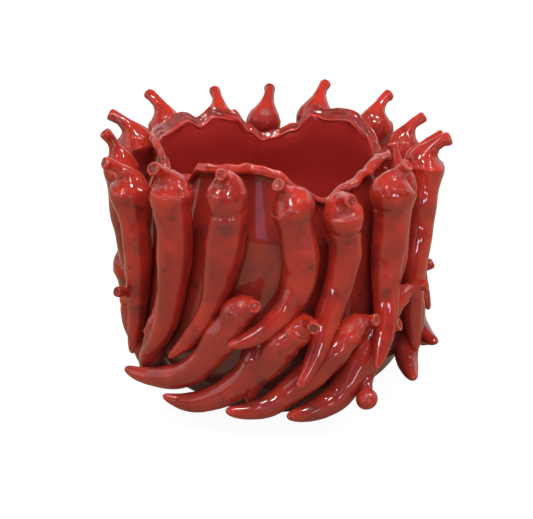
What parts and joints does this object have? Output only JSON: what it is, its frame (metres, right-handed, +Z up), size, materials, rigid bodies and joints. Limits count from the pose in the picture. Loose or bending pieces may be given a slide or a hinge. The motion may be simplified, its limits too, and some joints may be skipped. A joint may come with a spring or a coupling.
{
  "type": "ceramic chilli pepper planter",
  "caption": "Round red glazed ceramic planter with a wavy torn lip, hung all round with long chilli peppers over a lower wreath of peppers that sweeps round its base.",
  "frame": {"origin": "middle of the foot, on the surface that the planter stands on", "axes": "+Z up along the pot's axis; -Y towards the viewer of the picture, +X to the viewer's right"},
  "size_m": [0.2601, 0.2692, 0.213],
  "materials": {
    "red_glaze": "gloss brown-red glaze, darker where it pools and breaking to pale orange on thin edges"
  },
  "bodies": {
    "root": {"pot_body": "red_glaze", "upper_pepper_01": "red_glaze", "upper_pepper_02": "red_glaze", "upper_pepper_03": "red_glaze", "upper_pepper_04": "red_glaze", "upper_pepper_05": "red_glaze", "upper_pepper_06": "red_glaze", "upper_pepper_07": "red_glaze", "upper_pepper_08": "red_glaze", "upper_pepper_09": "red_glaze", "upper_pepper_10": "red_glaze", "upper_pepper_11": "red_glaze", "upper_pepper_12": "red_glaze", "upper_pepper_13": "red_glaze", "upper_pepper_14": "red_glaze", "upper_pepper_15": "red_glaze", "upper_pepper_16": "red_glaze", "upper_pepper_17": "red_glaze", "lower_pepper_01": "red_glaze", "lower_pepper_02": "red_glaze", "lower_pepper_03": "red_glaze", "lower_pepper_04": "red_glaze", "lower_pepper_05": "red_glaze", "lower_pepper_06": "red_glaze", "lower_pepper_07": "red_glaze", "lower_pepper_08": "red_glaze", "lower_pepper_09": "red_glaze", "lower_pepper_10": "red_glaze", "lower_pepper_11": "red_glaze", "lower_pepper_12": "red_glaze", "lower_pepper_13": "red_glaze", "inner_pepper_01": "red_glaze", "inner_pepper_02": "red_glaze", "inner_pepper_03": "red_glaze"}
  },
  "joints": []
}
